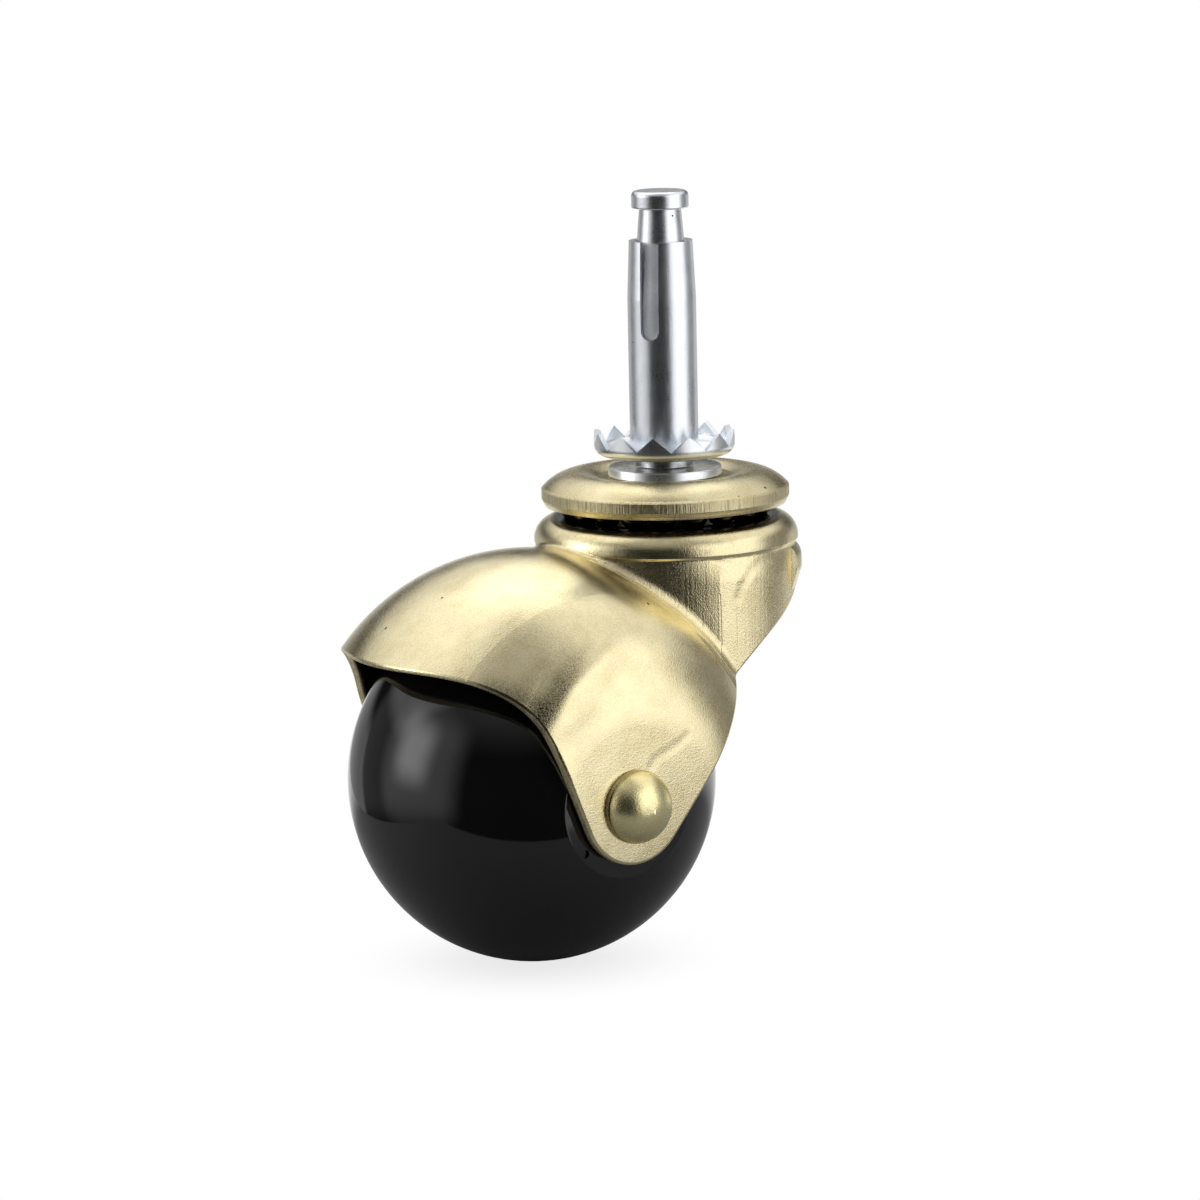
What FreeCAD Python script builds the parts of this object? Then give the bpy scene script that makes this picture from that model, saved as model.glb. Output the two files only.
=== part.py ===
"""Ball castor with a grip-neck stem in a toothed leg socket.

Millimetres. +Z is up along the stem, and the origin is on the stem's axis in the plane where the leg
rests on the socket's floor. The ball trails towards -X, and its axle lies along Y.
"""
import FreeCAD, Part
import math
import os

Vector = FreeCAD.Vector
UP = Vector(0, 0, 1)
ALONG = Vector(1, 0, 0)
ACROSS = Vector(0, 1, 0)
ORIGIN = Vector(0, 0, 0)
FULL_TURN = 360.0
ANGLE_TOLERANCE = 1e-6

# Stem: a headed pin with a shoulder, riveted over at its lower end
shank_diameter = 7.9375
shoulder_gap = 1.62
shoulder_radius = 7.9
shoulder_height = 1.35
shoulder_rounding = 0.2
stem_length = 38.3
button_height = 2.4
button_rounding = 0.7
button_underside_rounding = 0.25
neck_diameter = 5.8
neck_length = 12.8
kingpin_diameter = 6.8
rivet_head_lip = 1.9
rivet_head_height = 1.5
rivet_head_chamfer = 0.8

# Leg socket: a drawn sleeve round the shank, with a toothed crown
sleeve_clearance = 0.09375
sleeve_wall = 0.7
button_gap = 4.48
prong_bend_lead = 0.32
prong_squeeze = 0.35
slot_width = 2.7
slot_length = 13.5
slot_heading = 213.0
crown_radius = 9.8
crown_sheet = 0.8
crown_corner = 1.5
tooth_tip_height = 2.6
tooth_valley_height = 0.5
tooth_tip_width = 0.25
tooth_count = 12
tooth_heading = 226.0
mouth_rounding = 0.5

# Race cap: a dished disc with a sheared rim, recessed round the stem's shoulder
cap_sheet = 2.25
cap_recess_clearance = 1.374
cap_crest_rise = 0.75
cap_dome_reach = 4.95
cap_rim_fall = 2.3
cap_rim_land = 1.3
cap_rim_break = 0.45

# Swivel bearing: two rings of loose balls
upper_ball_diameter = 3.97
upper_ball_offset = 0.9
upper_track_depth = 0.2
lower_ball_diameter = 3.175
lower_ball_offset = 5.6
lower_race_sheet = 1.5
lower_track_angle = 20.0
track_relief = 0.1
ball_spacing = 0.08
ball_clearance = 0.03
kingpin_clearance = 0.05

# Hood: one pressing of dome, neck, collar and ears
hood_wall = 1.8
hood_space = 4.6
dome_drop = 2.51
cheek_bend = 19.0
ear_clearance = 0.3
lip_height = 18.5
lip_corner_radius = 12.0
ear_tip_radius = 8.0
ear_front_lean = 22.4
ear_rear_lean = 39.5
rear_corner_reach = 24.0
rear_corner_radius = 36.0
skirt_below_collar = 4.1
neck_overhang = 0.75
neck_rounding = 3.0
collar_step = 0.4
collar_land = 0.6
collar_rounding = 0.35
lobe_step = 0.45
lobe_depth = 6.7
lobe_slope = 2.2
lobe_foot = 2.8
lobe_foot_rounding = 2.0
lobe_rounding = 0.3
lobe_half_turn = 52.0
crease_rounding = 1.6
edge_rounding = 0.45
kingpin_hole_clearance = 1.1

# Ball and its axle
ball_diameter = 50.8
ball_flat_cut = 2.1
ball_edge_rounding = 0.5
trail = 23.35
axle_diameter = 6.0
axle_hole_clearance = 0.05
ball_bore_clearance = 0.08
axle_head_radius = 5.0
axle_head_height = 4.0
axle_head_land = 0.5
axle_peen_radius = 4.7
axle_peen_height = 1.7
gate_mark_radius = 0.6
gate_mark_depth = 0.4
gate_mark_inset = 0.9
gate_mark_heading = 220.0

# Levels down the stem
shank_radius = shank_diameter / 2
kingpin_radius = kingpin_diameter / 2
shoulder_top = -crown_sheet - shoulder_gap
shoulder_bottom = shoulder_top - shoulder_height
button_top = shoulder_top + stem_length
button_bottom = button_top - button_height
neck_start = button_bottom - neck_length
cap_crest = shoulder_bottom + cap_crest_rise
cap_rim_top = cap_crest - cap_rim_fall
cap_rim_bottom = cap_rim_top - cap_sheet

# The sleeve fits round the shank and ends below the button, and its prongs close in past the neck's start
sleeve_bore_radius = shank_radius + sleeve_clearance
sleeve_radius = sleeve_bore_radius + sleeve_wall
sleeve_top = button_bottom - button_gap
prong_bend_height = neck_start + prong_bend_lead
slot_bottom = sleeve_top - slot_length

# The cap's dome is an arc that is level at its crest and runs from the recess to the rim's top edge
cap_dome_radius = (cap_dome_reach ** 2 + cap_rim_fall ** 2) / (2 * cap_rim_fall)
cap_dome_centre = cap_crest - cap_dome_radius
cap_recess_reach = math.sqrt(cap_dome_radius ** 2 - (cap_dome_radius - cap_crest_rise) ** 2)
cap_crest_radius = shoulder_radius + cap_recess_clearance + cap_recess_reach
cap_radius = cap_crest_radius + cap_dome_reach
cap_track_radius = cap_dome_radius - cap_sheet

# The upper balls sit in the cap's hollow, and the hood's race plate lies under them
upper_ball_radius = upper_ball_diameter / 2
upper_ball_pitch_radius = cap_crest_radius + upper_ball_offset
upper_ball_reach = cap_track_radius - upper_ball_radius - ball_clearance
upper_ball_level = cap_dome_centre + math.sqrt(upper_ball_reach ** 2 - upper_ball_offset ** 2)
upper_track_bottom = upper_ball_level - upper_ball_radius - ball_clearance
plate_top = upper_track_bottom + upper_track_depth
plate_bottom = plate_top - hood_wall

# The lower balls hang under the plate in the lower race, which rests on the riveted head
lower_ball_radius = lower_ball_diameter / 2
lower_ball_pitch_radius = kingpin_radius + lower_ball_offset
lower_ball_level = plate_bottom - ball_clearance - lower_ball_radius
lower_track_radius = lower_ball_radius + track_relief
lower_track_bottom = lower_ball_level - lower_ball_radius - ball_clearance
lower_track_centre = lower_track_bottom + lower_track_radius
lower_race_top = lower_track_centre - lower_track_radius * math.sin(math.radians(lower_track_angle))
lower_race_bottom = lower_race_top - lower_race_sheet

# The neck stands a little outside the cap, the dome arches over the ball, and the ears clear its flats
neck_wall_radius = cap_radius + neck_overhang
collar_radius = neck_wall_radius + collar_step
collar_height = neck_rounding + collar_land
ball_radius = ball_diameter / 2
ball_width = ball_diameter - 2 * ball_flat_cut
hood_radius = ball_radius + hood_space + hood_wall
ball_drop = hood_radius + dome_drop - plate_top
axle_centre = Vector(-trail, 0, -ball_drop)
axle_radius = axle_diameter / 2
ear_inner = ball_width / 2 + ear_clearance
ear_outer = ear_inner + hood_wall


def half_plane(radius, height):
    """A point of a profile that is revolved about the stem's axis."""
    return Vector(radius, 0, height)


def side_view(forward, height):
    """A point of an outline seen along the axle, measured from the axle's centre."""
    return axle_centre + Vector(forward, 0, height)


def axle_plane(across, radius):
    """A point of a profile that is revolved about the axle, drawn below the axle."""
    return axle_centre + Vector(0, across, -radius)


def line(start, end):
    return Part.LineSegment(start, end).toShape()


def arc(start, middle, end):
    return Part.Arc(start, middle, end).toShape()


def around(centre, radius, angle):
    """A point on a circle in the stem's half plane, with its angle in degrees from outwards."""
    turn = math.radians(angle)
    return centre + Vector(radius * math.cos(turn), 0, radius * math.sin(turn))


def rounded_outline(corners):
    """A closed wire of straight runs whose corners, given as (point, radius), are tangent arcs."""
    stretches = []
    count = len(corners)
    for index, (corner, radius) in enumerate(corners):
        before = (corners[index - 1][0] - corner).normalize()
        after = (corners[(index + 1) % count][0] - corner).normalize()
        if radius == 0:
            stretches.append((corner, None, corner))
            continue
        half_angle = before.getAngle(after) / 2
        middle_way = (before + after).normalize()
        setback = radius / math.tan(half_angle)
        crown = corner + middle_way * (radius / math.sin(half_angle) - radius)
        stretches.append((corner + before * setback, crown, corner + after * setback))
    edges = []
    for index, (start, middle, end) in enumerate(stretches):
        if middle is not None:
            edges.append(arc(start, middle, end))
        edges.append(line(end, stretches[(index + 1) % count][0]))
    return Part.Wire(edges)


def about_stem(wire):
    return Part.Face(wire).revolve(ORIGIN, UP, FULL_TURN)


def about_axle(wire):
    return Part.Face(wire).revolve(axle_centre, ACROSS, FULL_TURN)


def turned(shape, angle):
    """A copy of a shape, turned about the stem's axis."""
    copy = shape.copy()
    copy.rotate(ORIGIN, UP, angle)
    return copy


def make_leg_socket():
    sleeve_tip = sleeve_radius - prong_squeeze
    bore_tip = sleeve_bore_radius - prong_squeeze
    inner_corner = crown_corner - crown_sheet
    profile = rounded_outline([
        (half_plane(sleeve_bore_radius, -crown_sheet), mouth_rounding),
        (half_plane(crown_radius, -crown_sheet), crown_corner),
        (half_plane(crown_radius, tooth_tip_height), 0),
        (half_plane(crown_radius - crown_sheet, tooth_tip_height), 0),
        (half_plane(crown_radius - crown_sheet, 0), inner_corner),
        (half_plane(sleeve_radius, 0), 0),
        (half_plane(sleeve_radius, prong_bend_height), 0),
        (half_plane(sleeve_tip, sleeve_top), 0),
        (half_plane(bore_tip, sleeve_top), 0),
        (half_plane(sleeve_bore_radius, prong_bend_height), 0),
    ])
    socket = about_stem(profile)

    # The notches between the teeth run a little past the tips, in line with their flanks
    tooth_height = tooth_tip_height - tooth_valley_height
    tooth_pitch = 2 * math.pi * crown_radius / tooth_count
    flank_slope = (tooth_pitch - tooth_tip_width) / 2 / tooth_height
    notch_height = tooth_height + crown_sheet
    notch_half_width = flank_slope * notch_height
    notch_start = crown_radius - 2 * crown_sheet
    notch_top = tooth_valley_height + notch_height
    notch_wire = Part.makePolygon([
        Vector(notch_start, 0, tooth_valley_height),
        Vector(notch_start, notch_half_width, notch_top),
        Vector(notch_start, -notch_half_width, notch_top),
        Vector(notch_start, 0, tooth_valley_height),
    ])
    notch = Part.Face(notch_wire).extrude(Vector(3 * crown_sheet, 0, 0))
    pitch_angle = FULL_TURN / tooth_count
    notches = [turned(notch, tooth_heading + (k + 0.5) * pitch_angle) for k in range(tooth_count)]

    # One cut across the sleeve makes both slots, with a round root at the bottom of each
    slot_root = slot_bottom + slot_width / 2
    slot_reach = 2 * sleeve_radius
    slot_height = sleeve_top - slot_root + sleeve_wall
    slot_corner = Vector(-slot_reach, -slot_width / 2, slot_root)
    slot = Part.makeBox(2 * slot_reach, slot_width, slot_height, slot_corner)
    root_start = Vector(-slot_reach, 0, slot_root)
    root = Part.makeCylinder(slot_width / 2, 2 * slot_reach, root_start, ALONG)
    return socket.cut(notches + [turned(slot.fuse(root), slot_heading)])


def make_stem():
    head_bottom = lower_race_bottom - rivet_head_height
    neck_radius = neck_diameter / 2
    rivet_head_radius = kingpin_radius + rivet_head_lip
    profile = rounded_outline([
        (half_plane(0, head_bottom), 0),
        (half_plane(rivet_head_radius - rivet_head_chamfer, head_bottom), 0),
        (half_plane(rivet_head_radius, head_bottom + rivet_head_chamfer), 0),
        (half_plane(rivet_head_radius, lower_race_bottom), 0),
        (half_plane(kingpin_radius, lower_race_bottom), 0),
        (half_plane(kingpin_radius, shoulder_bottom), 0),
        (half_plane(shoulder_radius, shoulder_bottom), shoulder_rounding),
        (half_plane(shoulder_radius, shoulder_top), shoulder_rounding),
        (half_plane(shank_radius, shoulder_top), shoulder_rounding),
        (half_plane(shank_radius, neck_start), 0),
        (half_plane(neck_radius, button_bottom), 0),
        (half_plane(shank_radius, button_bottom), button_underside_rounding),
        (half_plane(shank_radius, button_top), button_rounding),
        (half_plane(0, button_top), 0),
    ])
    return about_stem(profile)


def make_race_cap():
    bore_radius = kingpin_radius + kingpin_clearance
    centre = half_plane(cap_crest_radius, cap_dome_centre)
    rim_angle = math.degrees(math.asin((cap_rim_top - cap_dome_centre) / cap_dome_radius))
    recess_angle = 180 - math.degrees(math.acos(cap_recess_reach / cap_dome_radius))
    hollow_reach = cap_track_radius * math.cos(math.radians(recess_angle))

    # The top runs from the recess over the crest to the rim, and the hollow follows it underneath
    recess_edge = around(centre, cap_dome_radius, recess_angle)
    crest = around(centre, cap_dome_radius, 90)
    rim_edge = around(centre, cap_dome_radius, rim_angle)
    track_end = around(centre, cap_track_radius, rim_angle)
    track_top = around(centre, cap_track_radius, 90)
    track_start = around(centre, cap_track_radius, recess_angle)
    land_end = half_plane(cap_radius, cap_rim_top - cap_rim_land)
    rim_foot = half_plane(cap_radius - cap_rim_break, cap_rim_bottom)
    hub_bottom_edge = half_plane(cap_crest_radius + hollow_reach, shoulder_bottom - cap_sheet)
    hub_bottom = half_plane(bore_radius, shoulder_bottom - cap_sheet)
    hub_top = half_plane(bore_radius, shoulder_bottom)
    profile = Part.Wire([
        line(hub_top, recess_edge),
        arc(recess_edge, crest, rim_edge),
        line(rim_edge, land_end),
        line(land_end, rim_foot),
        line(rim_foot, track_end),
        arc(track_end, track_top, track_start),
        line(track_start, hub_bottom_edge),
        line(hub_bottom_edge, hub_bottom),
        line(hub_bottom, hub_top),
    ])
    return about_stem(profile)


def ball_ring(radius, pitch_radius, level):
    """As many loose balls as fit round the stem, evenly spaced, as one group."""
    share = math.asin((radius + ball_spacing / 2) / pitch_radius)
    count = math.floor(math.pi / share)
    ball = Part.makeSphere(radius, half_plane(pitch_radius, level))
    return Part.makeCompound([turned(ball, k * FULL_TURN / count) for k in range(count)])


def make_upper_balls():
    return ball_ring(upper_ball_radius, upper_ball_pitch_radius, upper_ball_level)


def make_lower_balls():
    return ball_ring(lower_ball_radius, lower_ball_pitch_radius, lower_ball_level)


def make_lower_race():
    bore_radius = kingpin_radius + kingpin_clearance
    centre = half_plane(lower_ball_pitch_radius, lower_track_centre)
    trough_radius = lower_track_radius + lower_race_sheet
    outer_angle = math.degrees(math.asin((lower_race_top - lower_track_centre) / trough_radius))
    hub_angle = 180 - math.degrees(math.asin((lower_race_bottom - lower_track_centre) / trough_radius))
    track_start = around(centre, lower_track_radius, 180 + lower_track_angle)
    track_end = around(centre, lower_track_radius, -lower_track_angle)
    lip_edge = around(centre, trough_radius, outer_angle)
    hub_edge = around(centre, trough_radius, hub_angle)
    profile = Part.Wire([
        line(half_plane(bore_radius, lower_race_top), track_start),
        arc(track_start, around(centre, lower_track_radius, -90), track_end),
        line(track_end, lip_edge),
        arc(lip_edge, around(centre, trough_radius, -90), hub_edge),
        line(hub_edge, half_plane(bore_radius, lower_race_bottom)),
        line(half_plane(bore_radius, lower_race_bottom), half_plane(bore_radius, lower_race_top)),
    ])
    return about_stem(profile)


def flattened_ball(radius, half_width, bend):
    """A ball about the axle's centre with a flat at each end of the axle, its edges rounded by bend."""
    bend_across = half_width - bend
    bend_reach = math.sqrt((radius - bend) ** 2 - bend_across ** 2)
    meeting = radius / (radius - bend)
    turn = math.atan2(bend_reach, bend_across) / 2
    middle_across = bend_across + bend * math.cos(turn)
    middle_reach = bend_reach + bend * math.sin(turn)
    left_axis = axle_plane(-half_width, 0)
    left_flat = axle_plane(-half_width, bend_reach)
    left_round = axle_plane(-bend_across * meeting, bend_reach * meeting)
    right_round = axle_plane(bend_across * meeting, bend_reach * meeting)
    right_flat = axle_plane(half_width, bend_reach)
    right_axis = axle_plane(half_width, 0)
    return about_axle(Part.Wire([
        line(left_axis, left_flat),
        arc(left_flat, axle_plane(-middle_across, middle_reach), left_round),
        arc(left_round, axle_plane(0, radius), right_round),
        arc(right_round, axle_plane(middle_across, middle_reach), right_flat),
        line(right_flat, right_axis),
        line(right_axis, left_axis),
    ]))


def neck_plug(radius, top, bottom, foot_rounding):
    """A solid plug about the stem with the neck's rounded top edge."""
    return about_stem(rounded_outline([
        (half_plane(0, top), 0),
        (half_plane(radius, top), neck_rounding - plate_top + top),
        (half_plane(radius, bottom), foot_rounding),
        (half_plane(0, bottom), 0),
    ]))


def dome_and_neck(inset):
    """The dome with the neck run through it; the inset makes the hollow inside the sheet."""
    dome = flattened_ball(hood_radius - inset, ear_outer - inset, cheek_bend - inset)
    neck = neck_plug(neck_wall_radius - inset, plate_top - inset, -ball_drop - hood_radius, 0)
    whole = dome.fuse(neck)

    # The creases between dome and neck are the only edges that are neither straight nor round
    creases = [edge for edge in whole.Edges if isinstance(edge.Curve, Part.BSplineCurve)]
    return whole.makeFillet(crease_rounding + inset, creases)


def hood_outline():
    """Side view of what is left after trimming: lip, front edge, ear tip, rear edge and neck skirt."""
    reach = 2 * hood_radius
    front = math.radians(ear_front_lean)
    rear = math.radians(ear_rear_lean)
    front_touch = Vector(-math.cos(front), 0, -math.sin(front)) * ear_tip_radius
    front_way = Vector(-math.sin(front), 0, math.cos(front))
    rear_touch = Vector(math.cos(rear), 0, -math.sin(rear)) * ear_tip_radius
    rear_way = Vector(math.sin(rear), 0, math.cos(rear))

    # Both ear edges touch the tip's circle, so they meet on the line that halves the angle between them
    tip_half_angle = front_way.getAngle(rear_way) / 2
    tip_distance = ear_tip_radius / math.sin(tip_half_angle)
    tip_way = (front_way + rear_way).normalize() * -tip_distance
    lip_corner = front_touch + front_way * ((lip_height - front_touch.z) / front_way.z)
    rear_corner = rear_touch + rear_way * ((rear_corner_reach - rear_touch.x) / rear_way.x)

    # The skirt's edge runs from the rear corner to a point of the neck's back wall, just below the collar
    back_wall = trail + neck_wall_radius
    back_height = ball_drop + plate_top - collar_height - skirt_below_collar
    skirt_slope = (back_height - rear_corner.z) / (back_wall - rear_corner.x)
    skirt_rise = (reach - rear_corner.x) * skirt_slope
    return rounded_outline([
        (side_view(-reach, lip_height), 0),
        (side_view(lip_corner.x, lip_height), lip_corner_radius),
        (side_view(tip_way.x, tip_way.z), ear_tip_radius),
        (side_view(rear_corner.x, rear_corner.z), rear_corner_radius),
        (side_view(reach, rear_corner.z + skirt_rise), 0),
        (side_view(reach, reach), 0),
        (side_view(-reach, reach), 0),
    ])


def is_trimmed(face):
    """Whether a face was left by the outline, which runs straight across the hood below its plate."""
    surface = face.Surface
    if isinstance(surface, Part.Cylinder):
        return surface.Axis.cross(ACROSS).Length < ANGLE_TOLERANCE
    if not isinstance(surface, Part.Plane) or face.CenterOfMass.z > plate_bottom - hood_wall / 2:
        return False
    return abs(surface.Axis.dot(ACROSS)) < ANGLE_TOLERANCE


def round_trimmed_edges(shape):
    """Rounds the outer and inner edges all along the trimmed sheet."""
    edges = []
    for edge in shape.Edges:
        trimmed = [is_trimmed(face) for face in shape.ancestorsOfType(edge, Part.Face)]
        if trimmed.count(True) == 1:
            edges.append(edge)
    return shape.makeFillet(edge_rounding, edges)


def back_lobe():
    """The thickened lobe that the draw leaves down the back of the neck, below the collar."""
    outer = collar_radius + lobe_step
    inner = outer - hood_wall
    top = plate_top - neck_rounding
    bottom = plate_top - collar_height - lobe_depth
    profile = Part.Face(rounded_outline([
        (half_plane(inner, top), 0),
        (half_plane(outer, top - lobe_slope), lobe_slope),
        (half_plane(outer, bottom + lobe_foot), lobe_foot_rounding),
        (half_plane(neck_wall_radius, bottom), lobe_rounding),
        (half_plane(inner, bottom), lobe_rounding),
    ]))
    profile.rotate(ORIGIN, UP, -lobe_half_turn)
    return profile.revolve(ORIGIN, UP, 2 * lobe_half_turn)


def make_hood():
    collar = neck_plug(collar_radius, plate_top, plate_top - collar_height, collar_rounding)
    shell = dome_and_neck(0).fuse(collar).cut(dome_and_neck(hood_wall))
    outline = Part.Face(hood_outline())
    outline.translate(ACROSS * -hood_radius)
    trimmed = shell.common(outline.extrude(ACROSS * (2 * hood_radius)))
    hood = round_trimmed_edges(trimmed)

    # Coined ball track on the race plate, the kingpin's hole and the axle's holes
    track_radius = upper_ball_radius + track_relief
    track_level = upper_track_bottom + track_radius
    track = Part.makeTorus(upper_ball_pitch_radius, track_radius, half_plane(0, track_level))
    hole_start = half_plane(0, plate_bottom - hood_wall)
    kingpin_hole_radius = kingpin_radius + kingpin_hole_clearance
    kingpin_hole = Part.makeCylinder(kingpin_hole_radius, 3 * hood_wall, hole_start)
    axle_start = axle_centre - ACROSS * hood_radius
    axle_hole = Part.makeCylinder(axle_radius + axle_hole_clearance, 2 * hood_radius, axle_start, ACROSS)
    return hood.fuse(back_lobe()).cut([track, kingpin_hole, axle_hole])


def make_axle_rivet():
    """A domed head outside one ear, the axle, and a flatter peened head outside the other."""
    head_start = -ear_outer - axle_head_land
    head_sphere = (axle_head_radius ** 2 + axle_head_height ** 2) / (2 * axle_head_height)
    head_crown = head_start - axle_head_height
    head_half = math.asin(axle_head_radius / head_sphere) / 2
    head_middle = axle_plane(
        head_crown + head_sphere * (1 - math.cos(head_half)),
        head_sphere * math.sin(head_half),
    )
    peen_sphere = (axle_peen_radius ** 2 + axle_peen_height ** 2) / (2 * axle_peen_height)
    peen_crown = ear_outer + axle_peen_height
    peen_half = math.asin(axle_peen_radius / peen_sphere) / 2
    peen_middle = axle_plane(
        peen_crown - peen_sphere * (1 - math.cos(peen_half)),
        peen_sphere * math.sin(peen_half),
    )
    return about_axle(Part.Wire([
        arc(axle_plane(head_crown, 0), head_middle, axle_plane(head_start, axle_head_radius)),
        line(axle_plane(head_start, axle_head_radius), axle_plane(-ear_outer, axle_head_radius)),
        line(axle_plane(-ear_outer, axle_head_radius), axle_plane(-ear_outer, axle_radius)),
        line(axle_plane(-ear_outer, axle_radius), axle_plane(ear_outer, axle_radius)),
        line(axle_plane(ear_outer, axle_radius), axle_plane(ear_outer, axle_peen_radius)),
        arc(axle_plane(ear_outer, axle_peen_radius), peen_middle, axle_plane(peen_crown, 0)),
        line(axle_plane(peen_crown, 0), axle_plane(head_crown, 0)),
    ]))


def make_ball_wheel():
    ball = flattened_ball(ball_radius, ball_width / 2, ball_edge_rounding)
    bore_start = axle_centre - ACROSS * ball_width
    bore = Part.makeCylinder(axle_radius + ball_bore_clearance, 2 * ball_width, bore_start, ACROSS)

    # The moulding gate leaves a small sunk mark near the edge of one flat
    gate_turn = math.radians(gate_mark_heading)
    flat_radius = math.sqrt(ball_radius ** 2 - (ball_width / 2) ** 2)
    gate_mark_offset = flat_radius - gate_mark_inset
    gate_aside = Vector(math.cos(gate_turn), 0, math.sin(gate_turn)) * gate_mark_offset
    gate_start = axle_centre + gate_aside - ACROSS * (ball_width / 2)
    gate = Part.makeCylinder(gate_mark_radius, gate_mark_depth, gate_start, ACROSS)
    return ball.cut([bore, gate])


pieces = {
    "leg_socket": make_leg_socket(),
    "stem": make_stem(),
    "race_cap": make_race_cap(),
    "upper_balls": make_upper_balls(),
    "lower_balls": make_lower_balls(),
    "lower_race": make_lower_race(),
    "hood": make_hood(),
    "axle_rivet": make_axle_rivet(),
    "ball_wheel": make_ball_wheel(),
}

os.makedirs("parts", exist_ok=True)
for name, shape in pieces.items():
    shape.exportStep(f"parts/{name}.step")
    print(f"{name}: {len(shape.Solids)} solids, valid {shape.isValid()}, {shape.Volume:.1f} mm3")
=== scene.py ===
import math

import bmesh
import bpy
from mathutils import Matrix, Vector


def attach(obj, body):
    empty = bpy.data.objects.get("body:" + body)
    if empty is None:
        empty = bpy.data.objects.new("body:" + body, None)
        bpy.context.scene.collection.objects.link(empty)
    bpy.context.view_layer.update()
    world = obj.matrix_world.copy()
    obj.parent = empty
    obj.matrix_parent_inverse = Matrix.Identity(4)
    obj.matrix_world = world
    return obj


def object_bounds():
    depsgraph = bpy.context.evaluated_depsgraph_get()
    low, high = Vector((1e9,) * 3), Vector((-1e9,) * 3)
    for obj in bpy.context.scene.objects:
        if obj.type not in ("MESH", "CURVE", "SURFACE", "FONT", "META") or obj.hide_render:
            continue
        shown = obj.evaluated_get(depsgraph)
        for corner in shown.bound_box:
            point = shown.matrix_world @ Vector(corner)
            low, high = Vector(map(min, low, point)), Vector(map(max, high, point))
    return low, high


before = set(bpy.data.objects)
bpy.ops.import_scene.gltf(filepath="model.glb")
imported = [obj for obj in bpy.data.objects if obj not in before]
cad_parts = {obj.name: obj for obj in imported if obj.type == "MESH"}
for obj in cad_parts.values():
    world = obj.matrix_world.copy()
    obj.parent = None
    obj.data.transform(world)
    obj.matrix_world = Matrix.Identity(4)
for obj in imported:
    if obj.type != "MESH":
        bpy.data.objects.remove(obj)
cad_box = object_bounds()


# Stem: a cold-headed steel pin with a button head, a tapered grip neck and a round shoulder.
# It is turned bright and zinc plated, so it keeps fine rings from the lathe and a few small pits.

class Tone:
    """A socket of a material's nodes, so that shader maths reads as plain expressions."""

    def __init__(self, tree, socket=None):
        self.tree = tree
        self.socket = socket

    def node(self, kind, settings=None, sockets=None, out=0):
        """Adds a node, makes its settings, fills or links its sockets, and gives one of its outputs."""
        made = self.tree.nodes.new(kind)
        for name, value in (settings or {}).items():
            setattr(made, name, value)
        for name, value in (sockets or {}).items():
            if isinstance(value, Tone):
                self.tree.links.new(value.socket, made.inputs[name])
            else:
                made.inputs[name].default_value = value
        return Tone(self.tree, made.outputs[out])

    def maths(self, operation, first, second=0.0):
        return self.node("ShaderNodeMath", {"operation": operation}, {0: first, 1: second})

    def vector(self, operation, other=(0.0, 0.0, 0.0), out="Vector"):
        """Vector maths on this socket; a length, a distance or a dot product comes out as a Value."""
        sockets = {0: self, 1: other}
        return self.node("ShaderNodeVectorMath", {"operation": operation}, sockets, out)

    def __add__(self, other):
        return self.maths("ADD", self, other)

    def __radd__(self, other):
        return self.maths("ADD", other, self)

    def __sub__(self, other):
        return self.maths("SUBTRACT", self, other)

    def __rsub__(self, other):
        return self.maths("SUBTRACT", other, self)

    def __mul__(self, other):
        return self.maths("MULTIPLY", self, other)

    def __rmul__(self, other):
        return self.maths("MULTIPLY", other, self)

    def __truediv__(self, other):
        return self.maths("DIVIDE", self, other)

    def __pow__(self, other):
        return self.maths("POWER", self, other)

    def __abs__(self):
        return self.maths("ABSOLUTE", self)

    def most(self, other):
        return self.maths("MAXIMUM", self, other)

    def below(self, limit):
        return self.maths("LESS_THAN", self, limit)

    def rise(self, low, high):
        """A smooth step from 0 at low to 1 at high; it falls where low is the larger."""
        return self.node(
            "ShaderNodeMapRange",
            {"interpolation_type": "SMOOTHSTEP"},
            {"Value": self, "From Min": low, "From Max": high},
        )

    def tint(self, first, second):
        """Runs from the first colour at 0 to the second at 1."""
        sockets = {0: self, 6: first, 7: second}
        return self.node("ShaderNodeMix", {"data_type": "RGBA"}, sockets, out=2)

    def feeds(self, shader, name):
        self.tree.links.new(self.socket, shader.inputs[name])

    def bumps(self, shader, strength, distance):
        """Raises the shader's surface by this height, in units of the distance."""
        sockets = {"Strength": strength, "Distance": distance, "Height": self}
        self.node("ShaderNodeBump", {}, sockets).feeds(shader, "Normal")


def bare_finish(name, metallic):
    """A new material: itself, its shader, and the piece's own coordinates in metres."""
    material = bpy.data.materials.new(name)
    material.use_nodes = True
    shader = material.node_tree.nodes["Principled BSDF"]
    shader.inputs["Metallic"].default_value = metallic
    return material, shader, Tone(material.node_tree).node("ShaderNodeTexCoord", out="Object")


def axis_of(place, name):
    return place.node("ShaderNodeSeparateXYZ", {}, {"Vector": place}, out=name)


def stretched(place, along, across, up):
    """The piece's coordinates, drawn out so that a grain runs one way."""
    return place.vector("MULTIPLY", (along, across, up))


def reach_of(place):
    """The distance from the stem's axis."""
    return stretched(place, 1.0, 1.0, 0.0).vector("LENGTH", out="Value")


def speckle(place, scale, detail=2.0, roughness=0.5):
    return place.node(
        "ShaderNodeTexNoise",
        {},
        {"Vector": place, "Scale": scale, "Detail": detail, "Roughness": roughness},
    )


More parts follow.
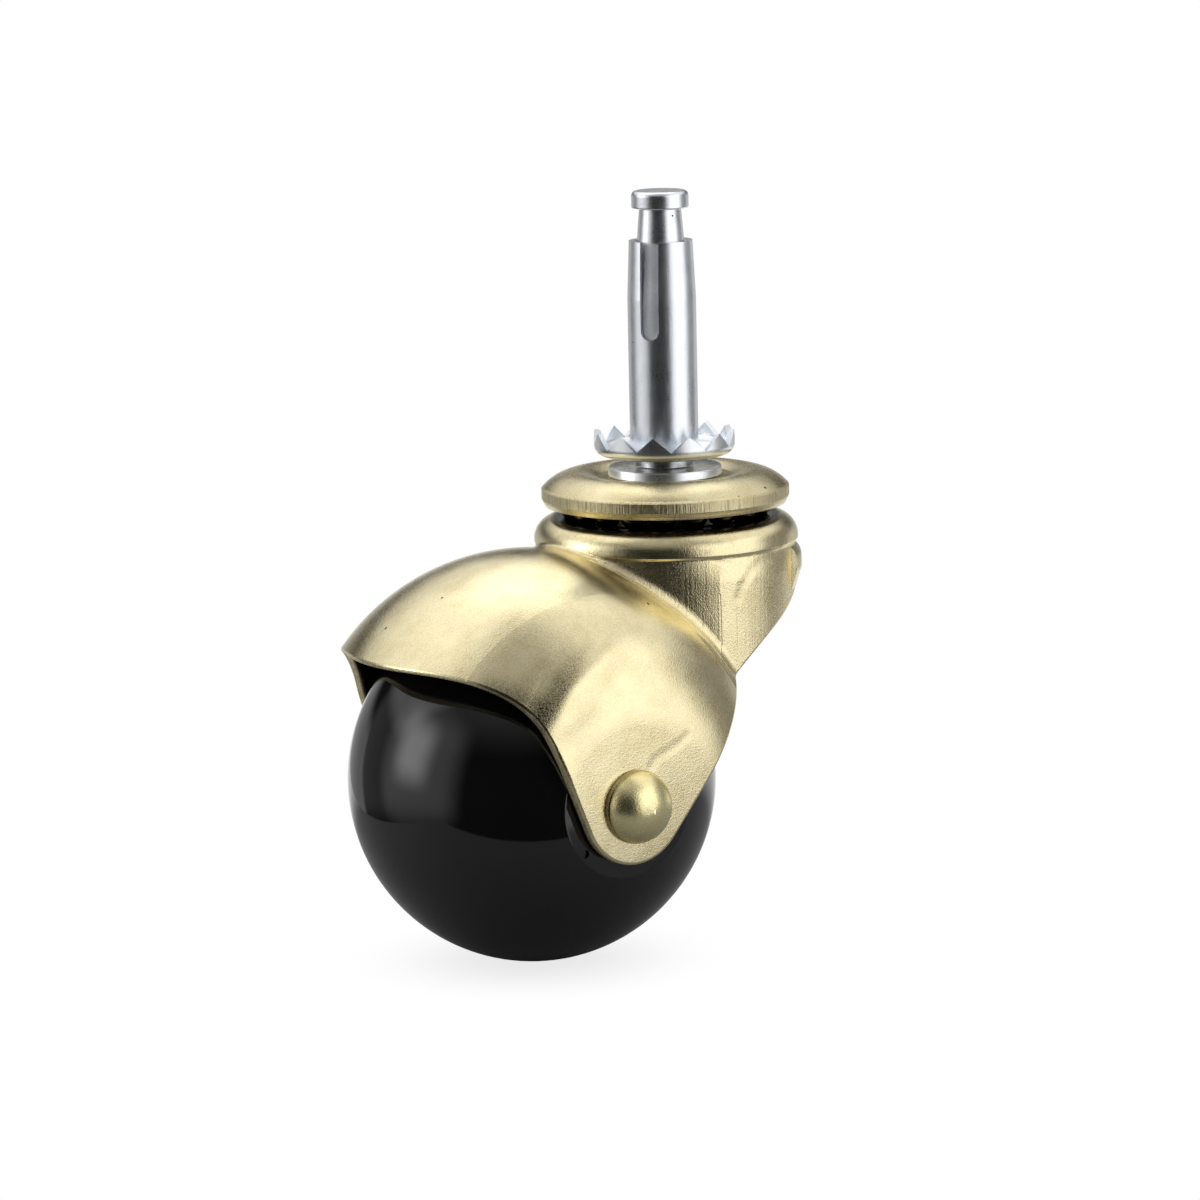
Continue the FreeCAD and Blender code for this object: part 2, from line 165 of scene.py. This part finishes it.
def pits(place, scale, size, share):
    """Small round marks: 1 inside a mark. Only that share of the cells has one."""
    cell = "ShaderNodeTexVoronoi", {"feature": "F1"}, {"Vector": place, "Scale": scale}
    away = place.node(*cell)
    chosen = place.node(*cell, out="Color")
    lot = chosen.node("ShaderNodeSeparateColor", {}, {"Color": chosen})
    return away.rise(size, size * 0.6) * lot.below(share)


def zinc_plate(name, grain_up, rings, mark=None):
    """Bright zinc: bluish silver with a fine grain, rings from the lathe, and dark pits."""
    material, shader, place = bare_finish(name, 1.0)
    grain = speckle(stretched(place, 1.0, 1.0, grain_up), 2600.0, 3.0, 0.6)
    cloud = speckle(place, 420.0, 3.0, 0.55)
    pit = pits(place, 620.0, 0.11, 0.035)
    turned = speckle(stretched(place, 0.02, 0.02, 1.0), 3500.0, 2.0, 0.6)
    tone = (0.55 * cloud + 0.45 * grain).rise(0.25, 0.75)
    colour = tone.tint((0.79, 0.825, 0.87, 1.0), (0.93, 0.955, 0.985, 1.0))
    stain_and_shade = pit
    rough = 0.20 + 0.08 * cloud + 0.10 * grain + 0.3 * pit
    height = 2.2 * grain + rings * turned - 2.0 * pit
    if mark is not None:
        mark_height, mark_dark, mark_rough = mark(place)
        height = height + mark_height
        stain_and_shade = stain_and_shade.most(mark_dark)
        rough = rough + mark_rough
    # Pits and the piece's marks darken the colour; on the stem the marks' dark is partly painted shade.
    stain_and_shade.tint(colour, (0.10, 0.10, 0.105, 1.0)).feeds(shader, "Base Color")
    rough.feeds(shader, "Roughness")
    height.bumps(shader, strength=0.55, distance=0.000007)
    return material


def dress(node, material):
    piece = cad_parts[node]
    piece.data.materials.clear()
    piece.data.materials.append(material)


def stem_marks(place):
    """The shoulder's rim leans in a little towards its top, with grease and painted shade over it and
    under the cap.

    The neck is rubbed dull inside the sleeve.
    """
    height = axis_of(place, "Z")
    radius = reach_of(place)
    rim_band = height.rise(-0.0037, -0.0036) * height.rise(-0.00245, -0.00255)
    rim = radius.rise(0.00772, 0.00782) * rim_band
    rim_middle, lean = -0.0031, -50000.0
    rubbed = height.rise(0.0290, 0.0285) * height.rise(0.0010, 0.0020)
    # Painted shade, with patchy grease: the shoulder's top face in the race gap is darkened, and the
    # stem under the cap is painted dark.
    top_band = height.rise(-0.00255, -0.00243) * height.rise(-0.0008, -0.0016)
    smear = top_band * radius.rise(0.0076, 0.0073)
    patchy = speckle(place, 900.0, 3.0, 0.6).rise(0.25, 0.6)
    grease_and_gap_shade = 0.55 * smear * patchy + height.rise(-0.0042, -0.0048)
    return lean * rim * (height - rim_middle), grease_and_gap_shade, 0.34 * rubbed


dress("stem", zinc_plate("turned_zinc", 1.0, 0.8, stem_marks))


# Race cap: a dished disc of steel sheet pressed over the bearing, brass plated after it is punched.
# Its rim is sheared, so the upper part is burnished with upright marks and the foot is torn and rough.

def brass_plate(name, roughness, mark, tones):
    """Satin brass plate over steel: a mottled champagne tint, orange peel, and a few dark pits."""
    material, shader, place = bare_finish(name, 1.0)
    peel = speckle(place, 4300.0, 2.0, 0.6)
    cloud = speckle(place, 260.0, 4.0, 0.6)
    swell = speckle(place, 95.0, 2.0, 0.5)
    pit = pits(place, 330.0, 0.085, 0.15)
    tone = (0.5 * cloud + 0.5 * peel).rise(0.22, 0.66)
    mark_height, mark_dark, mark_rough = mark(place)
    # The marks' dark holds real stains and pits and, for some pieces, painted shade and a painted dark
    # reflection.
    stain_and_shade = pit.most(mark_dark)
    stain_and_shade.tint(tone.tint(*tones), (0.035, 0.026, 0.013, 1.0)).feeds(shader, "Base Color")
    rough = roughness + 0.10 * (cloud - 0.5) + 0.12 * (peel - 0.5) + mark_rough
    rough.feeds(shader, "Roughness")
    height = 4.8 * peel + 2.5 * cloud + 9.0 * swell - 3.0 * pit + mark_height
    height.bumps(shader, strength=0.6, distance=0.0000085)
    return material


def sheared_rim(place):
    """Upright scores round the rim's land and a torn, lighter foot under it."""
    radius = reach_of(place)
    height = axis_of(place, "Z")
    on_rim = radius.rise(0.01690, 0.01715)
    # Painted shade, with grease: the cap's underside inside the race is darkened.
    grease_and_gap_shade = radius.rise(0.0169, 0.0166) * height.rise(-0.0066, -0.0072)
    scores = speckle(stretched(place, 1.0, 1.0, 0.04), 3400.0, 3.0, 0.7)
    torn = speckle(place, 2200.0, 3.0, 0.7)
    upper = height.rise(-0.0068, -0.0065)
    land = on_rim * upper
    foot = on_rim * (1.0 - upper)
    dark = land * scores.rise(0.46, 0.30) * 0.55 + foot * torn.rise(0.42, 0.28) * 0.6
    return 22.0 * land * scores + 26.0 * foot * torn, dark.most(grease_and_gap_shade), 0.08 * on_rim


cap_tones = ((0.585, 0.49, 0.265, 1.0), (0.80, 0.71, 0.45, 1.0))
dress("race_cap", brass_plate("sheared_brass", 0.28, sheared_rim, cap_tones))


# Upper balls: loose hardened steel balls, ground and polished, in a film of grease under the cap.
# Their colour is painted near black as shade, so they show only as dark gaps and small glints between
# the cap and the hood.

def bearing_steel(name):
    material, shader, place = bare_finish(name, 1.0)
    film = speckle(place, 700.0, 3.0, 0.6)
    # Painted shade: the balls' colour is near black for the shade inside the race, with grease.
    colour = film.rise(0.35, 0.75).tint((0.018, 0.015, 0.012, 1.0), (0.085, 0.075, 0.065, 1.0))
    colour.feeds(shader, "Base Color")
    (0.12 + 0.2 * film).feeds(shader, "Roughness")
    film.bumps(shader, strength=0.3, distance=0.000004)
    return material


bearing = bearing_steel("greased_and_shaded_bearing_steel")
dress("upper_balls", bearing)


# Hood: one pressing of steel sheet, drawn into a dome, a neck and two ears, trimmed and brass plated.
# The draw leaves upright scores on the neck, and the plate keeps a satin orange peel.

def scored_line(place, width, *points):
    """1 along a line of points, given with its width in millimetres, and 0 away from it."""
    nearest = 1.0
    for start, end in zip(points, points[1:]):
        run = (Vector(end) - Vector(start)) / 1000.0
        offset = place.vector("SUBTRACT", Vector(start) / 1000.0)
        along = offset.vector("DOT_PRODUCT", run / run.length_squared, out="Value")
        clamped = {"operation": "MINIMUM", "use_clamp": True}
        part = along.node("ShaderNodeMath", clamped, {0: along, 1: 1.0})
        foot = part.node("ShaderNodeVectorMath", {"operation": "SCALE"}, {0: run, "Scale": part})
        away = offset.vector("DISTANCE", foot, out="Value")
        nearest = away.maths("MINIMUM", away, nearest)
    return nearest.rise(width / 1000.0, 0.0)


def across_of(place):
    """The distance from the stem's axis to the right, seen from the near side at 34 degrees."""
    return 0.827 * axis_of(place, "X") - 0.562 * axis_of(place, "Y")


def drawn_marks(place):
    """Draw scores round the neck, with the wrinkles and creases that the press left on one side."""
    radius = reach_of(place)
    height = axis_of(place, "Z")
    neck_radius = 0.018
    neck_wall = radius.rise(0.0177, 0.0179) * radius.rise(0.0192, 0.0190)
    on_neck = neck_wall * height.rise(-0.0127, -0.0133)
    scores = speckle(stretched(place, 1.0, 1.0, 0.035), 1500.0, 4.0, 0.75)
    waves = speckle(stretched(place, 1.0, 1.0, 0.3), 190.0, 1.0, 0.4)
    # Painted shade, with grease: the hood's plate top inside the race gap is darkened.
    grease_and_gap_shade = radius.rise(0.0161, 0.0154) * height.rise(-0.0101, -0.0097)
    dark = on_neck * scores.rise(0.40, 0.26) * 0.75
    wrinkle = scored_line(
        place, 1.2, (7.4, -16.4, -13.9), (3.3, -17.7, -14.4), (1.9, -17.9, -15.05),
        (0.8, -18.0, -16.2), (-0.1, -18.0, -17.3), (-0.6, -18.0, -18.7),
    )
    hook = scored_line(place, 0.5, (-4.3, -17.5, -13.3), (-2.1, -17.9, -13.8), (-1.1, -18.0, -14.5))
    fold = scored_line(place, 0.16, (-3.5, -17.65, -18.0), (-3.4, -17.7, -25.8))
    crease = scored_line(
        place, 1.2, (-20.7, -25.4, -38.4), (-20.1, -25.4, -37.5), (-18.1, -25.4, -36.7),
        (-16.1, -25.4, -35.8), (-14.9, -25.4, -35.0),
    )
    scratch = scored_line(
        place, 0.1, (-6.7, -16.7, -17.7), (-5.5, -17.1, -19.4), (-4.2, -17.5, -21.8)
    )
    rise = on_neck * (9.0 * scores + 26.0 * waves) - 20.0 * wrinkle - 9.0 * hook
    rise = rise - 8.0 * fold - 6.5 * crease - 2.0 * scratch

    # Where the ear is drawn out of the dome it leaves a soft crest, with pores in the plate before it.
    # The hollow before the crest and a strip along the ear's front edge are painted darker, speckled by
    # the pores, as a painted dark reflection.
    crest = scored_line(
        place, 5.0, (-37.7, -25.1, -35.0), (-31.3, -23.7, -26.4), (-17.7, -18.1, -14.2)
    )
    crest = crest * height.rise(-0.0180, -0.0270) * height.rise(-0.0355, -0.0290)
    front = place.vector("DOT_PRODUCT", (-0.712, 0.468, 0.524), out="Value")
    hollow = crest.rise(0.03, 0.35) * front.rise(-0.0028, -0.0012)
    painted_dark_reflection = hollow + scored_line(place, 2.6, (-37.4, -22.9, -28.7), (-41.8, -18.8, -26.0))
    pores = speckle(place, 5200.0, 2.0, 0.6)
    rise = rise + 165.0 * crest + 7.0 * (hollow + on_neck) * pores
    porous = 0.25 + 0.6 * pores.rise(0.58, 0.34)
    # Painted dark reflection over the hollow and the front-edge strip, broken up by the pores.
    dark = dark.most(painted_dark_reflection * height.rise(-0.0190, -0.0280) * porous)

    # Beside the dome the neck is pressed a little flatter than round
    across = across_of(place)
    pressed = across.node("ShaderNodeClamp", {}, {"Value": across, "Min": 0.0, "Max": 0.007})
    flattened = height.rise(-0.0129, -0.0165) * radius.rise(0.0205, 0.0190)
    rise = rise + 2400000.0 * flattened * pressed * pressed

    # The ends of the lobe down the back of the neck are drawn off into the wall
    lobe_side = 0.788 * axis_of(place, "X") - 0.616 * abs(axis_of(place, "Y"))
    end = abs(lobe_side).rise(0.00012, 0.00004) * radius.rise(0.0178, 0.0180)
    rise = rise - 150000.0 * end * height.rise(-0.0127, -0.0130) * (radius - neck_radius)

    # Between its two faces the trimmed sheet is torn, at a depth of 17.2 mm inside to 19 mm outside
    ball_middle = (-0.02335, 0.0, -0.0436)
    side_start, flat_radius, round_inset = 0.0064, 0.01109, 0.0128
    offset = place.vector("SUBTRACT", ball_middle)
    away = offset.vector("LENGTH", out="Value")
    aside = abs(axis_of(offset, "Y"))
    past_flat = stretched(offset, 1.0, 0.0, 1.0).vector("LENGTH", out="Value") - flat_radius
    bend = (past_flat.most(0.0) ** 2.0 + (aside - side_start) ** 2.0) ** 0.5
    round_part = aside.below(0.5 * away)
    depth = round_part * (away - round_inset) + (1.0 - round_part) * bend
    edge = depth.rise(0.0189, 0.0186) * depth.rise(0.0172, 0.0175) * radius.rise(0.0180, 0.0186)
    torn = speckle(place, 2600.0, 3.0, 0.7)
    dark = dark.most(edge * torn.rise(0.5, 0.3) * 0.6)
    return rise + 30.0 * edge * torn, dark.most(grease_and_gap_shade), 0.03 * on_neck + 0.25 * edge


hood_tones = ((0.66, 0.555, 0.30, 1.0), (0.90, 0.80, 0.51, 1.0))
dress("hood", brass_plate("drawn_brass", 0.22, drawn_marks, hood_tones))


# Lower balls and lower race: a second row of balls in a dished zinc-plated washer under the hood.
# The riveted end of the stem holds the washer up, and the two rows together carry the swivel.

dress("lower_balls", bearing)
dress("lower_race", zinc_plate("pressed_zinc", 1.0, 0.0))


# Ball: a solid black moulding with a flat on each side, bored for the axle.
# It is polished in the mould to a high gloss, with only faint haze and hairline scuffs from handling.

def black_moulding(name):
    material, shader, place = bare_finish(name, 0.0)
    haze = speckle(place, 130.0, 3.0, 0.55)
    scuff = speckle(stretched(place, 1.0, 0.12, 1.0), 900.0, 4.0, 0.7).rise(0.62, 0.78)
    colour = haze.tint((0.0045, 0.0045, 0.005, 1.0), (0.0065, 0.0065, 0.007, 1.0))
    colour.feeds(shader, "Base Color")
    (0.045 + 0.03 * haze + 0.05 * scuff).feeds(shader, "Roughness")
    haze.bumps(shader, strength=0.2, distance=0.000004)
    shader.inputs["IOR"].default_value = 1.55
    return material


dress("ball_wheel", black_moulding("gloss_black_moulding"))


# Axle rivet: a brass-plated steel rivet through both ears and the ball, peened over at its far end.
# Its domed head is polished brighter than the hood.

def peened_head(place):
    """The near head sits a little askew, with pores, one small flat and a painted shadow round its rim.

    The setting tool left the flat.
    """
    axle_height = -0.0436
    side = axis_of(place, "Y")
    near = side.rise(-0.0254, -0.0262)
    rim = side.rise(-0.0267, -0.0259) * side.rise(-0.0250, -0.0254)
    pores = speckle(place, 4600.0, 2.0, 0.6)
    flat = scored_line(place, 0.9, (-24.5, -29.7, -43.3), (-23.7, -29.8, -42.6))
    lean = 24000.0 * (axis_of(place, "Z") - axle_height) - 22000.0 * across_of(place)
    height = near * (5.0 * pores + lean) - 7.0 * flat
    # The dark band round the rim is a painted shadow where the head meets the ear.
    return height, near * pores.rise(0.40, 0.28) * 0.15 + 0.55 * rim, 0.06 * near


rivet_tones = ((0.93, 0.78, 0.37, 1.0), (1.0, 0.91, 0.52, 1.0))
dress("axle_rivet", brass_plate("polished_brass", 0.22, peened_head, rivet_tones))


# Leg socket: a drawn sleeve of zinc-plated sheet with two spring slots, flanged out to a crown of teeth.
# Drawing leaves fine upright lines on the sleeve, and the punched teeth have bright edges.

dress("leg_socket", zinc_plate("drawn_zinc", 0.12, 0.0))


# Floor and light: a pale table, white to the camera and fading into a white surround, painted grey as
# shade to every other ray, except to mirrored rays at its back.
# Soft boxes stand to the left and right of the camera with a weak fill behind each, and two hang high
# at the back over a pale wall. The camera side is dark.

camera_turn = math.radians(-34.177)
camera_rise = math.radians(9.838)
camera_roll = math.radians(-1.203)
level_right = Vector((math.cos(camera_turn), math.sin(camera_turn), 0.0))
camera_back = Vector((
    math.sin(camera_turn) * math.cos(camera_rise),
    -math.cos(camera_turn) * math.cos(camera_rise),
    math.sin(camera_rise),
))
level_up = camera_back.cross(level_right)
camera_right = level_right * math.cos(camera_roll) + level_up * math.sin(camera_roll)
camera_up = level_up * math.cos(camera_roll) - level_right * math.sin(camera_roll)


def white_rays(tones, behind):
    """1 for the rays that see the white background.

    Those are the camera's own, and mirrored or refracted ones that reach the part behind the object.
    """
    seen = tones.node("ShaderNodeLightPath", out="Is Camera Ray")
    mirrored = tones.node("ShaderNodeLightPath", out="Is Glossy Ray")
    passed = tones.node("ShaderNodeLightPath", out="Is Transmission Ray")
    return seen.most(behind * mirrored.most(passed))


# The table ends a little way in front of the ball, so the ball mirrors its edge under the dark side
table_half, table_left, table_front = 0.15, 0.085, 0.065
floor_mesh = bpy.data.meshes.new("table_top")
shape = bmesh.new()
bmesh.ops.create_grid(shape, x_segments=1, y_segments=1, size=table_half)
middle = (table_half - table_left, table_half - table_front, 0.0)
bmesh.ops.translate(shape, verts=shape.verts, vec=middle)
shape.to_mesh(floor_mesh)
shape.free()
floor = bpy.data.objects.new("table_top", floor_mesh)
floor.location = (-0.02335, 0.0, cad_box[0].z - 0.00005)
floor.rotation_euler = (0.0, 0.0, camera_turn)
bpy.context.scene.collection.objects.link(floor)
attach(floor, "hood")
table, matt, place = bare_finish("white_table", 0.0)
matt.inputs["Roughness"].default_value = 0.6
# Painted shade: the table is grey to every ray but the camera's, as a table in shadow, except towards
# its back, which mirrored rays see white.
seen = white_rays(place, axis_of(place, "Y").rise(0.05, 0.12))
seen.tint((0.31, 0.31, 0.32, 1.0), (0.86, 0.86, 0.87, 1.0)).feeds(matt, "Base Color")
white = place.node("ShaderNodeEmission", {}, {"Color": (1.0, 1.0, 1.0, 1.0), "Strength": 1.0})
share = seen * (0.80 + 0.20 * reach_of(place).rise(0.004, 0.028))
lit = Tone(table.node_tree, matt.outputs[0])
surface = place.node("ShaderNodeMixShader", {}, {0: share, 1: lit, 2: white})
surface.feeds(table.node_tree.nodes["Material Output"], "Surface")
floor.data.materials.append(table)

studio = bpy.data.worlds.new("studio")
bpy.context.scene.world = studio
studio.use_nodes = True
studio.node_tree.nodes.clear()
way = Tone(studio.node_tree).node("ShaderNodeTexCoord", out="Generated")


def facing(direction):
    return way.vector("DOT_PRODUCT", tuple(direction), out="Value")


def soft_box(turn, rise, wide, high, edge, level, core):
    """A soft-edged panel of light, brighter by the core's level towards its middle.

    Its middle is turned to the right of the camera and raised above it. It is sized by half its width,
    half its height and its soft edge. All five are in degrees.
    """
    turn, rise = math.radians(turn), math.radians(rise)
    level_way = level_right * math.sin(turn) + camera_back * math.cos(turn)
    middle = level_way * math.cos(rise) + level_up * math.sin(rise)
    aside = Vector((0, 0, 1)).cross(middle).normalized()
    towards = facing(middle)
    across = abs(facing(aside) / towards.most(0.02))
    up = abs(facing(middle.cross(aside)) / towards.most(0.02))
    wide, high, edge = (math.tan(math.radians(x)) for x in (wide, high, edge))
    window = across.rise(wide + edge, wide) * up.rise(high + edge, high) * towards.rise(0.02, 0.1)
    return window * (level + core * across.rise(wide, 0.0) * up.rise(high, 0.0))


lights = (
    soft_box(-75, 8, 16, 16, 24, 0.68, 0.0)
    + soft_box(-80, 14, 3, 5, 17, 2.2, 0.0)
    + soft_box(-115, 8, 12, 14, 12, 0.17, 0.0)
    + soft_box(58, 5, 18, 20, 28, 1.30, 0.0)
    + soft_box(115, 5, 20, 35, 25, 0.22, 0.0)
    + soft_box(-125, 58, 34, 24, 16, 0.75, 0.15)
    + soft_box(120, 62, 34, 22, 16, 0.55, 0.1)
    + soft_box(180, 0, 46, 12, 12, 0.42, 0.1)
    + facing((0.0, 0.0, 1.0)).rise(0.35, 0.95) * 0.42
    + 0.02
)
lit = way.node("ShaderNodeBackground", {}, {"Color": (1.0, 1.0, 1.0, 1.0), "Strength": lights})
white = way.node("ShaderNodeBackground", {}, {"Color": (1.0, 1.0, 1.0, 1.0), "Strength": 1.0})
seen = white_rays(way, facing(-camera_back).rise(0.955, 0.987))
both = way.node("ShaderNodeMixShader", {}, {0: seen, 1: lit, 2: white})
both.feeds(studio.node_tree.nodes.new("ShaderNodeOutputWorld"), "Surface")

bpy.context.scene.view_settings.view_transform = "Standard"

lens = bpy.data.cameras.new("photo_camera")
lens.sensor_width = 36.0
lens.lens = 160.854
lens.clip_start = 0.01
lens.clip_end = 20.0
camera = bpy.data.objects.new("photo_camera", lens)
bpy.context.scene.collection.objects.link(camera)
stand = camera_right * -0.008961 + camera_up * -0.021167 + camera_back * 0.745479
turned = Matrix((camera_right, camera_up, camera_back)).transposed()
camera.matrix_world = Matrix.Translation(stand) @ turned.to_4x4()
bpy.context.scene.camera = camera
